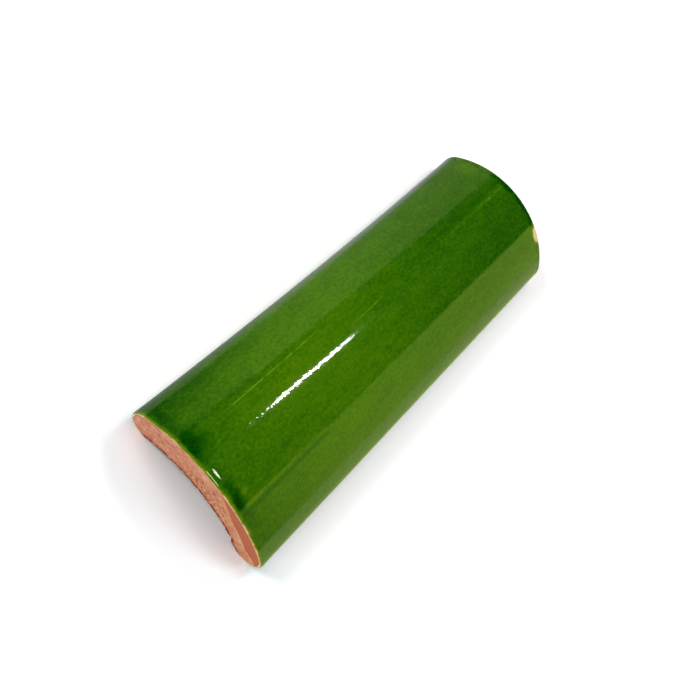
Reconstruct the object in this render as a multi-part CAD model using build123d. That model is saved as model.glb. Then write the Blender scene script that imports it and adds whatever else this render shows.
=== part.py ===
from build123d import *
import os

# A glazed clay trim strip: one fired piece with an arched section, lying on its two feet.
# Millimetres. X runs along the strip, Z is up.

# Driving sizes
LENGTH = 150.0
WIDTH = 50.0
HEIGHT = 20.0
SHOULDER_HEIGHT = 8.0
CROWN_WALL = 13.0
FOOT_WIDTH = 6.5

# Rounds of the section
SHOULDER_RADIUS = 6.0
FOOT_RADIUS = 4.8
INNER_FOOT_RADIUS = 1.5

# How deep the shelf flattened the rounded feet
FOOT_FLAT = 0.15

# Hand-cut ends, undercut so that the glazed faces of two strips can meet:
# how far the crown overhangs the feet, and how far the cut is off square
NEAR_OVERHANG = 2.6
FAR_OVERHANG = 1.8
NEAR_SKEW = 0.55
FAR_SKEW = 0.5

# The long edge on the +Y side is bowed in at mid length
EDGE_BOW = 1.0

# Length cut off each end of the pressed strip
END_TRIM = 3.0

# Width of the eased arris round each cut end
ARRIS = 0.4


def arc_drop(span, rise, y):
    """How far an arc, level at its middle, has dropped at y, when it drops by rise at span."""
    radius = (span ** 2 + rise ** 2) / (2 * rise)
    return radius - (radius ** 2 - y ** 2) ** 0.5


def half_section(side, half, x):
    """One half of the arched section, with its foot reaching a little below the floor."""
    floor = -FOOT_FLAT
    arch = half - FOOT_WIDTH
    under = HEIGHT - CROWN_WALL
    crown_middle = (side * half / 2, HEIGHT - arc_drop(half, HEIGHT - SHOULDER_HEIGHT, half / 2))
    arch_middle = (side * arch / 2, under - arc_drop(arch, under - floor, arch / 2))
    corners = {
        "shoulder": (side * half, SHOULDER_HEIGHT),
        "outer foot": (side * half, floor),
        "inner foot": (side * arch, floor),
    }
    rounds = {"shoulder": SHOULDER_RADIUS, "outer foot": FOOT_RADIUS, "inner foot": INNER_FOOT_RADIUS}
    with BuildSketch(Plane.YZ.offset(x)) as face:
        with BuildLine():
            ThreePointArc((0, HEIGHT), crown_middle, corners["shoulder"])
            Polyline(corners["shoulder"], corners["outer foot"], corners["inner foot"])
            ThreePointArc(corners["inner foot"], arch_middle, (0, under))
            Line((0, under), (0, HEIGHT))
        make_face()
        for name, radius in rounds.items():
            corner = Vector(*corners[name])
            fillet(face.vertices().sort_by_distance(corner)[0], radius)
    return face.sketch


def end_plane(end, overhang, skew):
    """A cut through one end, leaning with the crown outwards and turned a little off square."""
    lean = Vector(end * overhang, 0, HEIGHT)
    across = Vector(skew, WIDTH / 2, 0)
    normal = across.cross(lean) * end
    return Plane(origin=(end * (LENGTH / 2 - overhang), 0, 0), z_dir=normal)


# The straight half is drawn through, and the bowed half runs through three sections
reach = LENGTH / 2 + END_TRIM
straight_half = extrude(half_section(-1, WIDTH / 2, -reach), amount=2 * reach)
bowed_widths = ((-reach, WIDTH / 2), (0, WIDTH / 2 - EDGE_BOW), (reach, WIDTH / 2))
bowed_half = loft([half_section(1, half, x) for x, half in bowed_widths])
body = straight_half + bowed_half

# The two ends are cut, and all their arrises are eased
for end, overhang, skew in ((-1, NEAR_OVERHANG, NEAR_SKEW), (1, FAR_OVERHANG, FAR_SKEW)):
    body = split(body, bisect_by=end_plane(end, overhang, skew), keep=Keep.BOTTOM)
ends = body.faces().sort_by(Axis.X)
body = chamfer(ends[0].edges() + ends[-1].edges(), ARRIS)

# The feet are flattened where they stood on the shelf
above_floor = Box(2 * LENGTH, 2 * WIDTH, 2 * HEIGHT, align=(Align.CENTER, Align.CENTER, Align.MIN))
body = body & above_floor

# Stood with the middle of its base box at the origin
box = body.bounding_box()
body = body.moved(Location((-(box.min.X + box.max.X) / 2, -(box.min.Y + box.max.Y) / 2, -box.min.Z)))

os.makedirs("parts", exist_ok=True)
export_step(body, "parts/trim_tile.step")
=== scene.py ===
import bpy
import math
import numpy as np
from mathutils import Matrix, Vector


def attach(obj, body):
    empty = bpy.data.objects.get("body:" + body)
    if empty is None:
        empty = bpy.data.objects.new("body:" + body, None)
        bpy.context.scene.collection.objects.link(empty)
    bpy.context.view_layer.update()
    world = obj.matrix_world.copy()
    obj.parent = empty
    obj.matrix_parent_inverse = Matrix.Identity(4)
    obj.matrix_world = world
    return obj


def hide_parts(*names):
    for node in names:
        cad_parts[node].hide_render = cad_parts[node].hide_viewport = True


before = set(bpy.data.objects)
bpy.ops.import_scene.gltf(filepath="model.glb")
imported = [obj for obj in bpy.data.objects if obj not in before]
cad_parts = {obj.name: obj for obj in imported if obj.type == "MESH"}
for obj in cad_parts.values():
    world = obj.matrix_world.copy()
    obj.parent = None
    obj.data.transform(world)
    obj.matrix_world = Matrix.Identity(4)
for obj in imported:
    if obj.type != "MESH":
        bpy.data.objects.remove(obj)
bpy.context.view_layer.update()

MM = 0.001

# Sizes of the strip, in millimetres, as the solid has them
LENGTH = 150.0
WIDTH = 50.0
HEIGHT = 20.0
SHOULDER_HEIGHT = 8.0
CROWN_WALL = 13.0
FOOT_WIDTH = 6.5
SHOULDER_RADIUS = 6.0
FOOT_RADIUS = 4.8
INNER_FOOT_RADIUS = 1.5
FOOT_FLAT = 0.15
NEAR_OVERHANG = 2.6
FAR_OVERHANG = 1.8
NEAR_SKEW = 0.55
FAR_SKEW = 0.5
EDGE_BOW = 1.0
END_TRIM = 3.0

# Where the solid moved when its box was centred on the origin
CENTRED = (-0.016, 0.052)

# The glaze rolls over the cut with this radius, and the clay's lower arris is worn this much
GLAZE_ROLL = 0.5
LOWER_WEAR = 0.3

# How high above the floor the glaze stops on the long sides, measured along the face
GLAZE_FOOT_LINE = 2.2

# Mesh steps: points on each arc of half a section, and rows through the wall
CROWN_POINTS = 70
SHOULDER_POINTS = 14
SIDE_POINTS = 3
FOOT_POINTS = 14
INNER_FOOT_POINTS = 9
WALL_ROWS = 26

# The rows through the wall crowd towards the glaze by this power
ROW_CROWDING = 1.5

# Sections along the strip: their step at mid length, their angles over the roll of the glaze, and
# their distances from each cut where the rim swells
STATION_STEP = 1.0
ROLL_ANGLES = (90, 72, 54, 36, 18, 0)
RIM_STATIONS = (0.65, 0.85, 1.1, 1.4, 1.6, 1.8, 2.0, 2.2, 2.4, 2.65, 3.0, 3.5, 4.2, 5.2)

# Each noise is moved to a place of its own, by this much more each time along the three axes
NOISE_STEP = 17.0
NOISE_SHARES = (1.0, 0.37, 0.73)


class Number:
    """A number that the nodes work out; sums with it add the nodes that do them."""

    def __init__(self, nodes, socket):
        self.nodes = nodes
        self.socket = socket

    def __add__(self, other):
        return self.nodes.maths("ADD", self, other)

    def __radd__(self, other):
        return self.nodes.maths("ADD", other, self)

    def __sub__(self, other):
        return self.nodes.maths("SUBTRACT", self, other)

    def __rsub__(self, other):
        return self.nodes.maths("SUBTRACT", other, self)

    def __mul__(self, other):
        return self.nodes.maths("MULTIPLY", self, other)

    def __rmul__(self, other):
        return self.nodes.maths("MULTIPLY", other, self)

    def __truediv__(self, other):
        return self.nodes.maths("DIVIDE", self, other)

    def __pow__(self, other):
        return self.nodes.maths("POWER", self, other)

    def least(self, other):
        return self.nodes.maths("MINIMUM", self, other)

    def most(self, other):
        return self.nodes.maths("MAXIMUM", self, other)

    def over(self, limit):
        """1 where the number is above the limit, and 0 elsewhere."""
        return self.nodes.maths("GREATER_THAN", self, limit)

    def rise(self, low, high):
        """Goes smoothly from 0 at low to 1 at high."""
        settings = {"interpolation_type": "SMOOTHSTEP"}
        sockets = {"Value": self, "From Min": low, "From Max": high}
        return self.nodes.number("ShaderNodeMapRange", settings, sockets)

    def hump(self, middle, half_width):
        """A smooth hump of height 1 round a middle value."""
        return self.nodes.maths("EXPONENT", ((self - middle) / half_width) ** 2 * -1)


class Nodes:
    """The nodes of one finish or of one shape, and ways to add to them."""

    def __init__(self, tree):
        self.tree = tree
        self.seed = 0.0
        tree.nodes.clear()

    def add(self, kind, settings=None, sockets=None):
        node = self.tree.nodes.new(kind)
        for name, setting in (settings or {}).items():
            setattr(node, name, setting)
        for key, value in (sockets or {}).items():
            self.feed(node.inputs[key], value)
        return node

    def feed(self, socket, value):
        if isinstance(value, Number):
            value = value.socket
        if isinstance(value, bpy.types.NodeSocket):
            self.tree.links.new(value, socket)
        else:
            socket.default_value = value

    def number(self, kind, settings=None, sockets=None, output=0):
        return Number(self, self.add(kind, settings, sockets).outputs[output])

    def maths(self, operation, *numbers):
        return self.number("ShaderNodeMath", {"operation": operation}, dict(enumerate(numbers)))

    def vector(self, *parts):
        return self.add("ShaderNodeCombineXYZ", {}, dict(enumerate(parts))).outputs[0]

    def parts(self, vector):
        split = self.add("ShaderNodeSeparateXYZ", {}, {0: vector})
        return [Number(self, socket) for socket in split.outputs]

    def stretched(self, place, size, stretch):
        """A place for a pattern whose features have a size in millimetres and are stretched."""
        scale = tuple(1 / (MM * size * share) for share in stretch)
        scaled = self.add("ShaderNodeVectorMath", {"operation": "MULTIPLY"}, {0: place, 1: scale})
        return scaled.outputs[0]

    def noise(self, place, size, detail=2.0, stretch=(1, 1, 1), roughness=0.5):
        """Smooth noise about 0, seldom beyond -0.3 to 0.3."""
        moved = self.stretched(place, size, stretch)
        self.seed += NOISE_STEP
        shift = tuple(self.seed * share for share in NOISE_SHARES)
        moved = self.add("ShaderNodeVectorMath", {}, {0: moved, 1: shift}).outputs[0]
        sockets = {"Vector": moved, "Scale": 1.0, "Detail": detail, "Roughness": roughness}
        return self.number("ShaderNodeTexNoise", {}, sockets, output="Fac") - 0.5

    def cells(self, place, size):
        """Distance from the middle of the nearest scattered cell, as a share of the cells' size."""
        moved = self.stretched(place, size, (1, 1, 1))
        sockets = {"Vector": moved, "Scale": 1.0}
        return self.number("ShaderNodeTexVoronoi", {}, sockets, output="Distance")


def arc(centre, radius, start, end, count):
    """Points on an arc; angles run from straight up towards +Y."""
    angles = np.radians(np.linspace(start, end, count))
    return np.c_[centre[0] + radius * np.sin(angles), centre[1] + radius * np.cos(angles)]


def arc_radius(span, rise):
    """Radius of the arc that is level at its middle and drops by rise at span."""
    return (span ** 2 + rise ** 2) / (2 * rise)


def half_section():
    """Outer and inner lines of half the section, both from the crown down to the foot's flat."""
    half = WIDTH / 2
    floor = -FOOT_FLAT
    radius = arc_radius(half, HEIGHT - SHOULDER_HEIGHT)
    centre = HEIGHT - radius
    shoulder_y = half - SHOULDER_RADIUS
    shoulder_z = centre + math.sqrt((radius - SHOULDER_RADIUS) ** 2 - shoulder_y ** 2)
    turn = math.degrees(math.atan2(shoulder_y, shoulder_z - centre))
    foot_z = floor + FOOT_RADIUS
    side = np.linspace(shoulder_z, foot_z, SIDE_POINTS + 2)[1:-1]
    outer = np.vstack(
        [
            arc((0, centre), radius, 0, turn, CROWN_POINTS),
            arc((shoulder_y, shoulder_z), SHOULDER_RADIUS, turn, 90, SHOULDER_POINTS)[1:],
            np.c_[np.full(len(side), half), side],
            arc((half - FOOT_RADIUS, foot_z), FOOT_RADIUS, 90, 180, FOOT_POINTS),
        ]
    )

    arch = half - FOOT_WIDTH
    under = HEIGHT - CROWN_WALL
    arch_radius = arc_radius(arch, under - floor)
    arch_centre = under - arch_radius
    round_z = floor + INNER_FOOT_RADIUS
    round_y = math.sqrt((arch_radius + INNER_FOOT_RADIUS) ** 2 - (round_z - arch_centre) ** 2)
    lean = math.degrees(math.atan2(round_y, round_z - arch_centre))
    arch_points = len(outer) - INNER_FOOT_POINTS + 1
    inner = np.vstack(
        [
            arc((0, arch_centre), arch_radius, 0, lean, arch_points),
            arc((round_y, round_z), INNER_FOOT_RADIUS, 180 + lean, 180, INNER_FOOT_POINTS)[1:],
        ]
    )
    outer[:, 1] = np.maximum(outer[:, 1], 0)
    inner[:, 1] = np.maximum(inner[:, 1], 0)
    return outer, inner


def roll_drop(distance, radius):
    """How far a rounded arris has dropped at a distance from the cut."""
    if distance >= radius:
        return 0.0
    return radius - math.sqrt(radius ** 2 - (radius - distance) ** 2)


def station_distances(length):
    """Distances of the sections from one cut: close together near both cuts."""
    close = [GLAZE_ROLL * (1 - math.sin(math.radians(angle))) for angle in ROLL_ANGLES]
    close += RIM_STATIONS
    count = int((length - 2 * close[-1]) / STATION_STEP)
    between = np.linspace(close[-1], length - close[-1], count + 1)[1:-1]
    return close + list(between) + [length - distance for distance in reversed(close)]


def straight_blank():
    """The strip as pressed: one straight closed skin that carries what its shaping needs.

    near and far are distances from the two cuts, across is measured along the face from the crown,
    rise along the face from the foot, deep from the glazed face into the clay, and brink is what is
    left of the wall beyond that. outward points away from the wall, and cut is -1 and 1 on the ends.
    """
    outer, inner = half_section()
    mirror = np.array([-1, 1])
    runs = np.r_[0, np.cumsum(np.linalg.norm(np.diff(outer, axis=0), axis=1))]
    across = np.r_[-runs[:0:-1], runs]
    outer = np.vstack([outer[:0:-1] * mirror, outer])
    inner = np.vstack([inner[:0:-1] * mirror, inner])
    wall = inner - outer
    thick = np.linalg.norm(wall, axis=1)
    wall = wall / thick[:, None]
    length = LENGTH - NEAR_OVERHANG - FAR_OVERHANG
    distances = station_distances(length)
    last_row = len(distances) - 1
    last_column = len(outer) - 1

    points = []
    names = ("near", "far", "across", "rise", "deep", "brink", "cut", "outward")
    carried = {name: [] for name in names}
    place = {}
    for row, distance in enumerate(distances):
        closest = min(distance, length - distance)
        drop = roll_drop(closest, GLAZE_ROLL)
        wear = roll_drop(closest, LOWER_WEAR)
        for column in range(last_column + 1):
            whole = row in (0, last_row) or column in (0, last_column)
            for layer in range(WALL_ROWS + 1) if whole else (0, WALL_ROWS):
                share = (layer / WALL_ROWS) ** ROW_CROWDING
                deep = drop + (thick[column] - wear - drop) * share
                y, z = outer[column] + wall[column] * deep
                place[column, layer, row] = len(points)
                points.append(((distance - length / 2) * MM, y * MM, z * MM))
                inside = 0 < layer < WALL_ROWS and 0 < column < last_column
                on_cut = row in (0, last_row) and inside
                carried["near"].append(distance)
                carried["far"].append(length - distance)
                carried["across"].append(across[column])
                carried["rise"].append(runs[-1] - abs(across[column]))
                carried["deep"].append(thick[column] * share)
                carried["brink"].append(thick[column] * (1 - share))
                carried["cut"].append((-1 if row == 0 else 1) if on_cut else 0)
                carried["outward"].append((0.0, -wall[column][0], -wall[column][1]))

    faces = []

    def quad(*corners):
        faces.append([place[corner] for corner in corners])

    low = WALL_ROWS
    for row in range(last_row):
        beyond = row + 1
        for column in range(last_column):
            beside = column + 1
            quad((column, 0, row), (column, 0, beyond), (beside, 0, beyond), (beside, 0, row))
            quad((column, low, row), (beside, low, row), (beside, low, beyond), (column, low, beyond))
        side = last_column
        for layer in range(WALL_ROWS):
            deeper = layer + 1
            quad((0, layer, row), (0, deeper, row), (0, deeper, beyond), (0, layer, beyond))
            quad((side, layer, row), (side, layer, beyond), (side, deeper, beyond), (side, deeper, row))
    end = last_row
    for layer in range(WALL_ROWS):
        deeper = layer + 1
        for column in range(last_column):
            beside = column + 1
            quad((column, layer, 0), (beside, layer, 0), (beside, deeper, 0), (column, deeper, 0))
            quad((column, layer, end), (column, deeper, end), (beside, deeper, end), (beside, layer, end))

    mesh = bpy.data.meshes.new("trim_strip")
    mesh.from_pydata(points, [], faces)
    for name, values in carried.items():
        if name == "outward":
            attribute = mesh.attributes.new(name, "FLOAT_VECTOR", "POINT")
            attribute.data.foreach_set("vector", np.array(values, dtype=np.float32).ravel())
        else:
            attribute = mesh.attributes.new(name, "FLOAT", "POINT")
            attribute.data.foreach_set("value", np.array(values, dtype=np.float32))
    mesh.polygons.foreach_set("use_smooth", np.ones(len(faces), dtype=bool))
    mesh.update()
    return mesh


# Long ripples that the die left in the crown: across, near start, near end, half width, height
FLUTES = (
    (-10.6, 1.0, 33.0, 0.7, -0.022),
    (-9.2, 2.0, 22.0, 0.35, 0.016),
    (14.6, 3.0, 45.0, 1.2, -0.012),
    (11.7, 14.0, 52.0, 0.3, 0.008),
    (6.7, 112.0, 150.0, 0.5, 0.012),
    (8.6, 100.0, 150.0, 0.8, -0.014),
)

# A lump and a hollow in the torn edge of the near cut beside its foot: across, half width, drop
LUMPS = (
    (-31.0, 1.7, 1.4),
    (-26.5, 1.3, -0.6),
)

# The glaze's swelling behind the near rim: where it rises and falls along, and its place across
SWELL_RISES = (1.3, 2.55)
SWELL_FALLS = (2.5, 6.5)
SWELL_MIDDLE = 1.7
SWELL_HALF_WIDTH = 3.2

# The face lies this much lower than the solid's, and the crown lower still, so that no wave in it
# leaves the solid's box
FACE_LOWERED = 0.03
CROWN_LOWERED = 0.08
CROWN_HALF_WIDTH = 9.0

# Over what length a relief comes in or dies away: into the wall from the glazed face and from the
# underside, up the face from the foot, up from the floor, and down a cut from the glaze
FACE_REACH = 1.2
UNDERSIDE_REACH = 2.5
FOOT_REACH = 5.0
FLOOR_REACH = 2.0
GRAIN_REACH = 0.6

# How fast a tear dies away from its cut, for each millimetre
TEAR_FADE = 0.55

# Points deeper than this aren't on the glazed face, and off the cuts this is added to their cover
FACE_SKIN = 0.01
BARE_COVER = -20.0

SHAPE_INPUTS = {
    "Near overhang": NEAR_OVERHANG,
    "Far overhang": FAR_OVERHANG,
    "Near skew": NEAR_SKEW,
    "Far skew": FAR_SKEW,
    "Edge bow": EDGE_BOW,
    "Wave height": 0.05,
    "Bead height": 0.1,
    "Tear depth": 1.0,
    "Grain depth": 0.3,
}


def shaping_tree():
    """Nodes that turn the straight blank into the real strip: bowed, waved, cut at a lean and torn."""
    tree = bpy.data.node_groups.new("shape_the_strip", "GeometryNodeTree")
    tree.interface.new_socket("Blank", in_out="INPUT", socket_type="NodeSocketGeometry")
    for name, size in SHAPE_INPUTS.items():
        socket = tree.interface.new_socket(name, in_out="INPUT", socket_type="NodeSocketFloat")
        socket.default_value = size
    tree.interface.new_socket("Finish", in_out="INPUT", socket_type="NodeSocketMaterial")
    tree.interface.new_socket("Strip", in_out="OUTPUT", socket_type="NodeSocketGeometry")
    nodes = Nodes(tree)
    given = nodes.add("NodeGroupInput")
    size = {name: Number(nodes, given.outputs[name]) for name in SHAPE_INPUTS}

    def carried(name):
        return nodes.number("GeometryNodeInputNamedAttribute", {"data_type": "FLOAT"}, {"Name": name})

    near, far, across, rise = carried("near"), carried("far"), carried("across"), carried("rise")
    deep, brink, cut = carried("deep"), carried("brink"), carried("cut")
    vector = {"data_type": "FLOAT_VECTOR"}
    outward = nodes.add("GeometryNodeInputNamedAttribute", vector, {"Name": "outward"})
    _, out_y, out_z = nodes.parts(outward.outputs[0])
    here = nodes.add("GeometryNodeInputPosition").outputs[0]
    blank_x, blank_y, blank_z = (part / MM for part in nodes.parts(here))
    closest = near.least(far)

    face = 1 - (deep / FACE_REACH).least(1.0)
    waves = nodes.noise(here, 9.0, 1, (3, 1, 1)) + nodes.noise(here, 17.0, 1) * 0.8
    bead = (closest + nodes.noise(here, 6.0, 1) * 1.2).hump(1.0, 0.7) * 0.3
    swell = near.rise(*SWELL_RISES) * (1 - near.rise(*SWELL_FALLS))
    swell = swell * across.hump(SWELL_MIDDLE, SWELL_HALF_WIDTH)
    bead = (bead + swell) * size["Bead height"]
    flutes = 0.0
    for middle, start, end, half_width, height in FLUTES:
        stretch = near.rise(start - 1, start + 5) * (1 - near.rise(end - 6, end + 2))
        flutes = flutes + across.hump(middle, half_width) * stretch * height
    low = across.hump(0, CROWN_HALF_WIDTH) * CROWN_LOWERED + FACE_LOWERED
    relief = waves * size["Wave height"] + bead + flutes - low
    relief = relief * (rise / FOOT_REACH).least(1.0) * face

    lower = 1 - (brink / UNDERSIDE_REACH).least(1.0)
    tear = nodes.noise(here, 2.4, 2) * 1.5 + nodes.noise(here, 1.0, 2) * 1.5
    lump = 0.0
    for middle, half_width, drop in LUMPS:
        lump = lump + across.hump(middle, half_width) * drop
    tear = (tear + lump * (1 - near.rise(2, 6))) * size["Tear depth"]
    tear = tear * nodes.maths("EXPONENT", closest * -TEAR_FADE)
    lower_rough = nodes.noise(here, 3.0, 3, (4, 1, 1)) * 0.35
    above_floor = (blank_z / FLOOR_REACH).least(1.0)
    sag = (tear + lower_rough) * lower * above_floor

    move = relief - sag
    y = blank_y + out_y * move
    z = blank_z + out_z * move
    length = near + far
    share = near / length
    straight = (blank_x / (LENGTH / 2 + END_TRIM)) ** 2
    y = y * (1 - (1 - straight) * size["Edge bow"] / (WIDTH / 2) * y.over(0.0))
    lean = z / HEIGHT
    turned = y / (WIDTH / 2)
    near_cut = size["Near overhang"] * (1 - lean) + size["Near skew"] * turned - LENGTH / 2
    far_cut = LENGTH / 2 - size["Far overhang"] * (1 - lean) + size["Far skew"] * turned
    x = near_cut * (1 - share) + far_cut * share

    pores = 1 - nodes.cells(here, 1.3).rise(0.1, 0.45)
    grain = nodes.noise(here, 0.7, 3, roughness=0.6) * 0.6 + 0.2
    hollow = (grain + pores * 0.7 * nodes.noise(here, 5.0, 1).rise(-0.1, 0.15)).most(0.0)
    x = x - cut * hollow * size["Grain depth"] * (deep / GRAIN_REACH).least(1.0)
    shaped = nodes.vector((x + CENTRED[0]) * MM, (y + CENTRED[1]) * MM, z.most(0.0) * MM)

    # cover says how far in the glaze a point lies, in millimetres, and is negative on bare clay
    glazed = (rise - GLAZE_FOOT_LINE).least(closest + GLAZE_ROLL * (math.pi / 2 - 1))
    bare = BARE_COVER * (1 - cut * cut) * deep.over(FACE_SKIN)
    cover = glazed * (1 - deep.over(FACE_SKIN)) - deep + bare
    blank = given.outputs["Blank"]
    at_place = nodes.add("GeometryNodeSetPosition", {}, {"Geometry": blank, "Position": shaped})
    covered = nodes.add(
        "GeometryNodeStoreNamedAttribute",
        {"data_type": "FLOAT", "domain": "POINT"},
        {"Geometry": at_place.outputs[0], "Name": "cover", "Value": cover},
    )
    realized = nodes.add("GeometryNodeRealizeInstances", {}, {"Geometry": covered.outputs[0]})
    wears = {"Geometry": realized.outputs[0], "Material": given.outputs["Finish"]}
    finished = nodes.add("GeometryNodeSetMaterial", {}, wears)
    nodes.add("NodeGroupOutput", {}, {"Strip": finished.outputs[0]})
    return tree


def worked_mesh(blank, tree, inputs, name):
    """Runs a tree on a mesh with the given inputs and returns the plain mesh that comes out."""
    piece = bpy.data.objects.new(name + "_blank", blank)
    bpy.context.scene.collection.objects.link(piece)
    work = piece.modifiers.new("work", "NODES")
    work.node_group = tree
    for socket in tree.interface.items_tree:
        if socket.in_out == "INPUT" and socket.name in inputs:
            work[socket.identifier] = inputs[socket.name]
    graph = bpy.context.evaluated_depsgraph_get()
    mesh = bpy.data.meshes.new_from_object(piece.evaluated_get(graph), depsgraph=graph)
    mesh.name = name
    piece.modifiers.remove(work)
    bpy.data.objects.remove(piece)
    return mesh


def screen(red, green, blue):
    """A colour given as 0 to 255 on screen, as the renderer's linear values."""
    shares = [c / 255 for c in (red, green, blue)]
    return tuple(c / 12.92 if c <= 0.04045 else ((c + 0.055) / 1.055) ** 2.4 for c in shares) + (1.0,)


def ramp(nodes, value, top, stops):
    """A colour that changes with a value from 0 to top through a few stops."""
    node = nodes.add("ShaderNodeValToRGB", {}, {"Fac": value / top})
    elements = node.color_ramp.elements
    while len(elements) < len(stops):
        elements.new(0.5)
    for element, (place, colour) in zip(elements, stops):
        element.position = place / top
        element.color = screen(*colour)
    return node.outputs["Color"]


def blend(nodes, share, first, second):
    """A colour between two others."""
    node = nodes.add("ShaderNodeMix", {"data_type": "RGBA"}, {0: share})
    nodes.feed(node.inputs[6], first)
    nodes.feed(node.inputs[7], second)
    return node.outputs[2]


# The glaze's colour over the pale slip as it gets thicker, up to the thickest
THICKEST_GLAZE = 1.7
GLAZE_STOPS = (
    (0.0, (232, 208, 156)),
    (0.1, (166, 150, 62)),
    (0.25, (120, 124, 18)),
    (0.42, (96, 120, 6)),
    (0.62, (80, 121, 3)),
    (0.82, (60, 111, 1)),
    (0.97, (47, 99, 1)),
    (1.14, (31, 86, 0)),
    (1.35, (10, 72, 0)),
    (THICKEST_GLAZE, (0, 52, 0)),
)

# The glaze's thickness before anything changes it
USUAL_THICKNESS = 1.03

# Streaks where the glaze ran thinner or thicker: across, near start, near end, half width, change
STREAKS = (
    (-10.7, 1.0, 34.0, 0.6, 0.3),
    (-9.2, 2.6, 9.0, 0.5, -0.42),
    (-9.2, 9.0, 30.0, 0.25, -0.24),
    (14.2, 3.0, 28.0, 1.3, 0.14),
    (12.9, 10.0, 62.0, 0.8, 0.04),
    (6.8, 18.0, 48.0, 1.5, -0.09),
    (6.7, 105.0, 148.0, 0.4, -0.16),
    (8.7, 95.0, 150.0, 0.8, 0.10),
    (12.0, 105.0, 146.0, 0.4, 0.10),
)

# Painted glints, thin light lines in the glaze's colour: across, near start, near end, half width,
# strength
PAINTED_GLINT_LINES = (
    (11.7, 14.0, 52.0, 0.15, 0.75),
    (6.4, 60.0, 76.0, 0.14, 0.7),
)

# Spots where the glaze lies thin: across, near, half width across, half width along, change
THIN_SPOTS = (
    (-6.2, 5.0, 0.8, 1.0, -0.4),
    (20.0, 141.0, 3.0, 3.5, -0.25),
)

# Pinholes in the glaze: how far apart they lie, and the share of that over which their edge runs
PINHOLE_SPACING = 11.0
PINHOLE_EDGE = (0.012, 0.024)

# The small spot at the far rim that the glaze missed: across, half width, and length along
MISSED_MIDDLE = -13.9
MISSED_HALF_WIDTH = 2.8
MISSED_LENGTH = 2.5

# The clay's colour as its grain gets paler
CLAY_STOPS = (
    (0.1, (184, 100, 80)),
    (0.38, (214, 138, 110)),
    (0.6, (226, 155, 126)),
    (0.9, (244, 192, 162)),
)

# How high up a cut the clay is pitted, and how much more than that round one place across
PITTED_HEIGHT = 1.8
PITTED_EXTRA = 9.0
PITTED_MIDDLE = -4.0
PITTED_HALF_WIDTH = 10.0

# The smooth red band below the glaze of the near cut: where it starts and ends across, how deep it
# gets, and how fast it narrows towards its end
BAND_START = -33.0
BAND_END = -1.0
BAND_DEPTH = 5.8
BAND_TAPER = 0.47

# Colours on screen of the small things in the clay and in the glaze; some are painted shade and painted
# highlights
# Painted highlight: the pale specks beside the pits
CRUMB_HIGHLIGHT_COLOUR = (238, 188, 148)
# Painted shade: the dark red of the pits
PIT_SHADE_COLOUR = (164, 54, 38)
TORN_LIP_COLOUR = (134, 42, 32)
BAND_COLOUR = (190, 98, 78)
BAND_EDGE_COLOUR = (240, 186, 148)
UNDER_GLAZE_COLOUR = (172, 94, 66)
SLIP_COLOUR = (232, 206, 158)
# Near-white spots on the slip line: paler slip, and painted glints on the glaze's rim
PALE_SLIP_AND_GLINT_COLOUR = (255, 250, 232)
PINHOLE_COLOUR = (150, 176, 96)
# Painted glint: the light green of the thin lines painted where the glaze catches the light
PAINTED_GLINT_COLOUR = (118, 162, 40)

# Surfaces; the glaze mirrors less blue than red and green
CLAY_ROUGHNESS = 0.78
GLAZE_ROUGHNESS = 0.05
GLAZE_INDEX = 1.6
GLAZE_TINT = (0.88, 1.0, 0.45, 1.0)


def clay_finish(nodes, across, deep, brink, near, far):
    """Colour and relief of bare clay: grainy, pitted low down at the cuts with painted shade in the pits
    and painted highlights beside them, and with a smooth red band.
    """
    place = nodes.vector(across * MM, deep * MM, near * MM)
    grain = nodes.noise(place, 0.9, 4, (1.8, 1, 1), 0.65)
    cloud = nodes.noise(place, 3.2, 2, (1.6, 1, 1))
    colour = ramp(nodes, grain * 1.6 + cloud * 0.8 + 0.5, 1.0, CLAY_STOPS)

    reach = across.hump(PITTED_MIDDLE, PITTED_HALF_WIDTH) * PITTED_EXTRA + PITTED_HEIGHT
    at_cut = 1 - near.least(far).rise(0.2, 1.6)
    low_down = (1 - (brink / reach).rise(0.4, 1.1)) * (at_cut * 0.85 + 0.15)
    ridges = nodes.noise(place, 0.65, 2, (2.2, 1, 1), 0.6)
    where = (nodes.noise(place, 2.0, 2, (1.5, 1, 1)) + low_down * 0.5 - 0.1).rise(0.0, 0.14)
    # Pits: small dents whose colour is darkened with painted shade
    shaded_pit = ridges.rise(0.03, 0.09) * where
    # Painted highlights: pale specks beside the pits, where the grain would catch the light
    crumb_highlight = (ridges * -1).rise(0.05, 0.14) * (low_down * 0.8 + 0.2)
    colour = blend(nodes, crumb_highlight * 0.6, colour, screen(*CRUMB_HIGHLIGHT_COLOUR))
    colour = blend(nodes, shaded_pit * 0.85, colour, screen(*PIT_SHADE_COLOUR))
    patchy = nodes.noise(place, 1.2, 2, (2, 1, 1)).rise(-0.16, 0.04)
    lip = (1 - brink.rise(0.4, 1.5)) * patchy * at_cut
    colour = blend(nodes, lip * 0.95, colour, screen(*TORN_LIP_COLOUR))

    width = ((across - BAND_END) * -BAND_TAPER).least(BAND_DEPTH).least(across - BAND_START)
    inside = width + nodes.noise(place, 1.5, 3) * 1.1 - deep
    near_end = 1 - near.rise(0, 4)
    smooth = inside.rise(-0.15, 0.12) * near_end
    edge = inside.hump(-0.35, 0.28) * (1 - across.rise(-14, -9)) * near_end
    colour = blend(nodes, smooth * 0.9, colour, screen(*BAND_COLOUR))
    colour = blend(nodes, edge * 0.75, colour, screen(*BAND_EDGE_COLOUR))
    under_glaze = deep.hump(0.5, 0.25) * near_end * 0.5
    colour = blend(nodes, under_glaze, colour, screen(*UNDER_GLAZE_COLOUR))
    relief = (grain * 0.12 - shaded_pit * 0.07) * (1 - smooth * 0.7)
    return colour, relief


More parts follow.
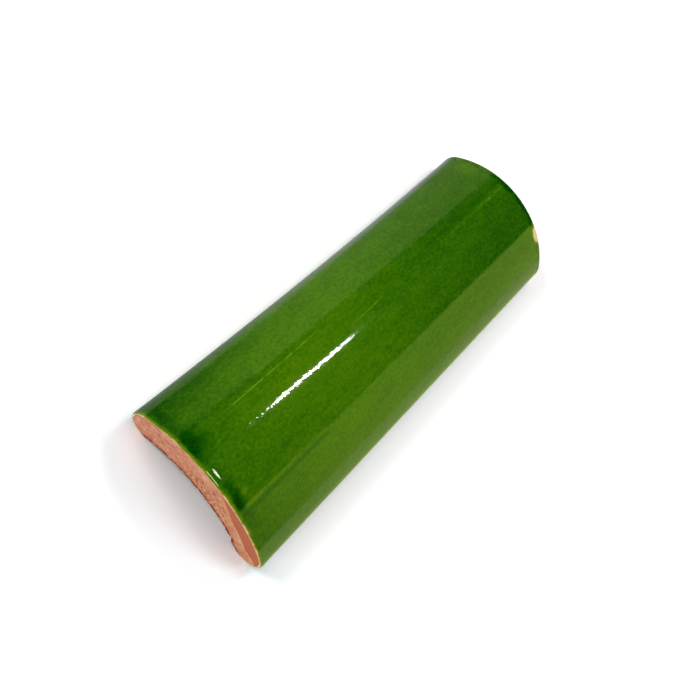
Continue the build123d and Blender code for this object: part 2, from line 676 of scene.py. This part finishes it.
def glaze_thickness(nodes, here, near, far, across, border):
    """How thick the glaze lies: mottled, thin at its edge, pooled at the cuts and run in streaks."""
    mottle = nodes.noise(here, 0.8, 3, (1.4, 1, 1), 0.65) * 0.85
    mottle = mottle + nodes.noise(here, 3.0, 2, (2.5, 1, 1)) * 0.34
    drift = nodes.noise(here, 18.0, 1, (3, 1, 1)) * 0.24
    along = near.hump(40, 52) * -0.22 + near.hump(122, 22) * 0.04 + USUAL_THICKNESS
    reach = across.hump(10, 4) * 3.5 + 5.0
    pool_near = (near + nodes.noise(here, 4.0, 1) * 3).rise(0.6, 1.6)
    pool_near = pool_near * (1 - ((near + nodes.noise(here, 4.0, 2) * 7) / reach).rise(0.3, 1.1))
    uneven = 0.22 + across.hump(10.5, 4) * 0.32 + across.hump(-7, 4) * 0.34
    uneven = uneven + nodes.noise(here, 5.0, 1) * 0.6
    pool_near = pool_near * uneven * across.rise(-19, -13)
    pool_far = 1 - (far + nodes.noise(here, 4.0, 1) * 3).rise(1.4, 3.4)
    pool_far = pool_far * (across.hump(1, 8) * 0.4 + 0.22)
    thick_side = across.hump(26, 5) * (1 - near.rise(5, 55)) * 0.26
    thickness = along + mottle + drift + pool_near + pool_far + thick_side
    for middle, start, end, half_width, change in STREAKS:
        stretch = near.rise(start - 1, start + 1) * (1 - near.rise(end - 1, end + 1))
        thickness = thickness + across.hump(middle, half_width) * stretch * change
    for middle, place, half_width, half_length, change in THIN_SPOTS:
        spot = across.hump(middle, half_width) * near.hump(place, half_length)
        thickness = thickness + spot * change
    thin_edge = (border + nodes.noise(here, 3.0, 1) * 0.8).rise(-0.1, 1.15) ** 0.8
    starved = nodes.noise(here, 3.0, 2).rise(-0.02, 0.16) * (1 - far.rise(1.0, 3.5)) * 0.35
    missed = (far / MISSED_LENGTH) ** 2 + ((across - MISSED_MIDDLE) / MISSED_HALF_WIDTH) ** 2
    missed = missed + nodes.noise(here, 1.6, 2) * 0.6
    return (thickness - starved) * thin_edge * missed.rise(0.75, 2.0)


def painted_glint_lines(nodes, here, near, across):
    """How much the painted glint lines show at a place; each is broken here and there."""
    share = 0.0
    for middle, start, end, half_width, strength in PAINTED_GLINT_LINES:
        stretch = near.rise(start, start + 4) * (1 - near.rise(end - 6, end))
        share = share + across.hump(middle, half_width) * stretch * strength
    return share * nodes.noise(here, 2.0, 2).rise(-0.2, 0.1)


def fired_strip_finish():
    """Bare clay, a thin line of pale slip and the glossy green glaze, told apart by the cover, with
    painted highlights and painted shade in the colour.
    """
    material = bpy.data.materials.new("fired_clay_and_green_glaze")
    material.use_nodes = True
    nodes = Nodes(material.node_tree)
    here = nodes.add("ShaderNodeTexCoord").outputs["Object"]

    def carried(name):
        return nodes.number("ShaderNodeAttribute", {"attribute_name": name}, output="Fac")

    cover, near, far, across = carried("cover"), carried("near"), carried("far"), carried("across")
    deep, brink = carried("deep"), carried("brink")
    wander = nodes.noise(here, 1.2, 3) * 0.5 + nodes.noise(here, 5.0, 1) * 0.5
    border = cover + wander * 0.5 - 0.2

    thickness = glaze_thickness(nodes, here, near, far, across, border)
    glaze = ramp(nodes, thickness, THICKEST_GLAZE, GLAZE_STOPS)
    pinhole = 1 - nodes.cells(here, PINHOLE_SPACING).rise(*PINHOLE_EDGE)
    glaze = blend(nodes, pinhole * border.rise(2, 3), glaze, screen(*PINHOLE_COLOUR))
    clay, clay_relief = clay_finish(nodes, across, deep, brink, near, far)
    slip_line = (border + nodes.noise(here, 1.0, 2) * 0.5).rise(-0.7, -0.54)
    # Near-white spots along the slip line: paler slip, partly painted glints where the glaze's rim
    # catches the light
    pale_slip_and_glint = nodes.noise(here, 1.7, 1).rise(0.06, 0.16)
    slip = blend(nodes, pale_slip_and_glint, screen(*SLIP_COLOUR), screen(*PALE_SLIP_AND_GLINT_COLOUR))
    clay = blend(nodes, slip_line, clay, slip)

    glossy = border.rise(-0.02, 0.12)
    colour = blend(nodes, glossy, clay, glaze)
    roughness = CLAY_ROUGHNESS - glossy * (CLAY_ROUGHNESS - GLAZE_ROUGHNESS)
    ripple = nodes.noise(here, 1.0, 2) * 0.015 + nodes.noise(here, 0.5, 1) * 0.005
    height = ripple * glossy + clay_relief * (1 - glossy)
    # Painted glints: thin light-green lines blended into the glaze's colour
    colour = blend(nodes, painted_glint_lines(nodes, here, near, across), colour, screen(*PAINTED_GLINT_COLOUR))
    bump = nodes.add("ShaderNodeBump", {}, {"Strength": 1.0, "Distance": MM, "Height": height})
    surface = nodes.add(
        "ShaderNodeBsdfPrincipled",
        {},
        {
            "Base Color": colour,
            "Roughness": roughness,
            "IOR": GLAZE_INDEX,
            "Specular Tint": GLAZE_TINT,
            "Normal": bump.outputs["Normal"],
        },
    )
    nodes.add("ShaderNodeOutputMaterial", {}, {"Surface": surface.outputs["BSDF"]})
    return material


def make_strip():
    """The one visible piece, which takes the place of the solid."""
    inputs = dict(SHAPE_INPUTS)
    inputs["Finish"] = fired_strip_finish()
    mesh = worked_mesh(straight_blank(), shaping_tree(), inputs, "glazed_strip")
    strip = bpy.data.objects.new("glazed_strip", mesh)
    bpy.context.scene.collection.objects.link(strip)
    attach(strip, "root")
    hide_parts("trim_tile")


# Camera: where it aims on the floor, how far off it stands, how it looks down, turns and rolls
AIM = (-4.44, -1.02, 0.0)
DISTANCE = 274.5
LOOK_DOWN = 52.62
HEADING = -9.46
ROLL = 58.74
FOCAL_PIXELS = 924.6
IMAGE_PIXELS = 700


def add_camera():
    down, heading, roll = (math.radians(angle) for angle in (LOOK_DOWN, HEADING, ROLL))
    ahead = Vector((math.cos(heading), math.sin(heading), 0))
    beside = Vector((math.sin(heading), -math.cos(heading), 0))
    forward = math.cos(down) * ahead - math.sin(down) * Vector((0, 0, 1))
    upward = math.sin(down) * ahead + math.cos(down) * Vector((0, 0, 1))
    right = math.cos(roll) * beside + math.sin(roll) * upward
    top = -math.sin(roll) * beside + math.cos(roll) * upward
    data = bpy.data.cameras.new("camera")
    data.sensor_width = 36
    data.lens = FOCAL_PIXELS / IMAGE_PIXELS * data.sensor_width
    data.clip_start = 0.01
    camera = bpy.data.objects.new("camera", data)
    turn = Matrix((right, top, -forward)).transposed().to_4x4()
    place = Vector(AIM) * MM - forward * DISTANCE * MM
    camera.matrix_world = Matrix.Translation(place) @ turn
    bpy.context.scene.collection.objects.link(camera)
    bpy.context.scene.camera = camera


# The sheet: half its side in metres, its colour as it lights the strip, and its tints as the camera
# sees it, before the near end and elsewhere
SHEET_HALF = 1.5
LIGHTING_TINT = (0.5, 0.52, 0.42, 1)
NEAR_END_TINT = (1.142, 1.2, 1.232, 1)
SEEN_TINT = (1.225, 1.215, 1.215, 1)

# Between these distances in metres from the strip's middle, the camera sees it turn plain white
TURNS_WHITE = (0.25, 0.45)

# Its tints as the glaze mirrors it: right of the strip, and left of it close by, beside the middle
# of the strip, and further out
RIGHT_TINT = (0.8, 0.94, 0.4, 1)
LEFT_TINT = (0.52, 0.47, 0.57, 1)
LEFT_MIDDLE_TINT = (0.9, 0.84, 0.98, 1)
LEFT_OUTER_TINT = (0.53, 0.59, 0.38, 1)


def mixed(nodes, share, first, second):
    """A shader between two others."""
    return nodes.add("ShaderNodeMixShader", {}, {0: share, 1: first, 2: second}).outputs[0]


def diffuse(nodes, colour):
    """A matt shader of one colour."""
    return nodes.add("ShaderNodeBsdfDiffuse", {}, {"Color": colour}).outputs[0]


def add_floor():
    """A sheet that looks white to the camera and keeps the strip's shadow.

    It has other tints where it lights the strip and where the glaze mirrors it, and far from the
    strip the camera sees plain white.
    """
    material = bpy.data.materials.new("white_sheet")
    material.use_nodes = True
    nodes = Nodes(material.node_tree)
    path = nodes.add("ShaderNodeLightPath")
    x, y, _ = nodes.parts(nodes.add("ShaderNodeTexCoord").outputs["Object"])

    seen_tint = blend(nodes, x.rise(-0.078, -0.055), NEAR_END_TINT, SEEN_TINT)
    white = nodes.add("ShaderNodeEmission").outputs[0]
    far_off = ((x ** 2 + y ** 2) ** 0.5).rise(*TURNS_WHITE)
    seen = mixed(nodes, far_off, diffuse(nodes, seen_tint), white)

    left_tint = blend(nodes, x.hump(0.045, 0.06), LEFT_TINT, LEFT_MIDDLE_TINT)
    left_tint = blend(nodes, y.rise(0.03, 0.2), left_tint, LEFT_OUTER_TINT)
    mirrored_tint = blend(nodes, y.rise(-0.01, 0.01), RIGHT_TINT, left_tint)
    lighting, mirrored = diffuse(nodes, LIGHTING_TINT), diffuse(nodes, mirrored_tint)
    unseen = mixed(nodes, path.outputs["Is Glossy Ray"], lighting, mirrored)
    surface = mixed(nodes, path.outputs["Is Camera Ray"], unseen, seen)
    nodes.add("ShaderNodeOutputMaterial", {}, {"Surface": surface})

    mesh = bpy.data.meshes.new("sheet")
    corners = [(i * SHEET_HALF, j * SHEET_HALF, 0) for i, j in ((-1, -1), (1, -1), (1, 1), (-1, 1))]
    mesh.from_pydata(corners, [], [(0, 1, 2, 3)])
    mesh.materials.append(material)
    sheet = bpy.data.objects.new("sheet", mesh)
    bpy.context.scene.collection.objects.link(sheet)


# What a panel has unless told otherwise
WHITE = (1, 1, 1)
NO_FADES = (0, 0, 0)


def add_panel(name, place, aim, size, brightness, colour=WHITE, fades=NO_FADES, rising=1.0, turn=0):
    """A lamp with a flat rectangular face that is as bright as asked for, whatever its size.

    It fades out over a share of its length at the start, at the end and at the top, and rising is how
    many times as bright its end is as its start. Its turn in its own plane is in degrees.
    """
    data = bpy.data.lights.new(name, "AREA")
    data.shape = "RECTANGLE"
    data.size, data.size_y = size
    data.energy = brightness * math.pi * size[0] * size[1]
    data.color = colour
    if fades != NO_FADES:
        data.use_nodes = True
        nodes = Nodes(data.node_tree)
        along, upward, _ = nodes.parts(nodes.add("ShaderNodeNewGeometry").outputs["Parametric"])
        start, end, top = fades
        share = (along * (rising - 1) + 1) / max(rising, 1.0)
        share = share * along.rise(0, start) * (1 - along.rise(1 - end, 1))
        share = share * (1 - upward.rise(1 - top, 1))
        glow = nodes.add("ShaderNodeEmission", {}, {"Strength": share})
        nodes.add("ShaderNodeOutputLight", {}, {"Surface": glow.outputs[0]})
    panel = bpy.data.objects.new(name, data)
    place, aim = Vector(place), Vector(aim)
    facing = (aim - place).to_track_quat("-Z", "Y").to_matrix().to_4x4()
    own_turn = Matrix.Rotation(math.radians(turn), 4, "Z")
    panel.matrix_world = Matrix.Translation(place) @ facing @ own_turn
    bpy.context.scene.collection.objects.link(panel)
    return panel


def add_soft_box(name, place, size, brightness):
    """A panel that lights the strip and isn't mirrored in its glaze."""
    add_panel(name, place, SOFT_BOX_AIM, size, brightness).visible_glossy = False


def add_mirrored(name, place, aim, size, brightness, colour, **more):
    """A panel that shows in the glaze and adds nothing to the even light."""
    add_panel(name, place, aim, size, brightness, colour, **more).visible_diffuse = False


def add_wall(name, azimuth, distance, start, end, top, brightness, colour, fades, rising):
    """A bright upright panel that stands on the floor, square to a direction seen from the strip."""
    turn = math.radians(azimuth)
    out = Vector((math.cos(turn), math.sin(turn), 0))
    along = Vector((-math.sin(turn), math.cos(turn), 0))
    place = out * distance + along * (start + end) / 2 + Vector((0, 0, top / 2))
    size = (end - start, top)
    add_mirrored(name, place, place - out, size, brightness, colour, fades=fades, rising=rising)


# How bright the room is, apart from its lamps
ROOM_BRIGHTNESS = 0.02


def add_world():
    """A dim even room; the camera itself sees white."""
    world = bpy.data.worlds.new("studio")
    bpy.context.scene.world = world
    world.use_nodes = True
    nodes = Nodes(world.node_tree)
    path = nodes.add("ShaderNodeLightPath")
    white = (1, 1, 1, 1)
    room = nodes.add("ShaderNodeBackground", {}, {"Color": white, "Strength": ROOM_BRIGHTNESS})
    seen = nodes.add("ShaderNodeBackground", {}, {"Color": white, "Strength": 1.0})
    either = mixed(nodes, path.outputs["Is Camera Ray"], room.outputs[0], seen.outputs[0])
    nodes.add("ShaderNodeOutputWorld", {}, {"Surface": either})


# Lights are placed and sized in metres. The soft boxes all aim here
SOFT_BOX_AIM = (0, 0, 0.01)
SQUARE = (0.35, 0.35)

# Name, place, size, brightness
SOFT_BOXES = (
    ("top_box", (0.174, 0.0, 0.985), SQUARE, 3.5),
    ("left_top_box", (0.0, 0.407, 0.914), SQUARE, 4.3),
    ("back_box", (0.643, 0.0, 0.766), SQUARE, 7.3),
    ("back_right_box", (0.366, -0.633, 0.682), SQUARE, 6.2),
    ("front_left_box", (-0.4, 0.692, 0.602), SQUARE, 11.6),
    ("low_front_box", (-0.7, 0.0, 0.12), (0.7, 0.22), 4.4),
)

# Colours of the mirrored panels; the glaze's own tint takes away much of their blue
RIGHT_WALL_COLOUR = (0.9, 1.14, 0.25)
LEFT_WALL_COLOUR = (0.83, 0.97, 0.42)
LAMP_COLOUR = (1.0, 0.9, 1.6)

# Name, azimuth, distance, start, end, top, brightness, colour, fades, rising
WALLS = (
    ("right_wall", -92, 0.7, 0.1, 1.5, 0.777, 1.0, RIGHT_WALL_COLOUR, (0.25, 0.02, 0.02), 2.0),
    ("left_wall", 64, 0.7, -0.8, 0.12, 0.54, 0.66, LEFT_WALL_COLOUR, (0.05, 0.36, 0.08), 1.7),
)

# Name, place, aim, size, brightness, turn
LAMPS = (
    ("key_lamp", (0.362, 0.097, 0.602), (-0.033, 0.004, 0.02), (0.008, 0.1), 260, -38),
    ("top_lamp", (0.07, -0.012, 0.755), (-0.073, 0.002, 0.02), (0.2, 0.15), 17, 0),
)


def add_lights():
    """Soft boxes that light the strip, and walls and lamps that its glaze mirrors."""
    for box in SOFT_BOXES:
        add_soft_box(*box)
    for wall in WALLS:
        add_wall(*wall)
    for name, place, aim, size, brightness, turn in LAMPS:
        add_mirrored(name, place, aim, size, brightness, LAMP_COLOUR, turn=turn)


add_camera()
add_floor()
add_world()
add_lights()
make_strip()
bpy.context.scene.view_settings.view_transform = "Standard"
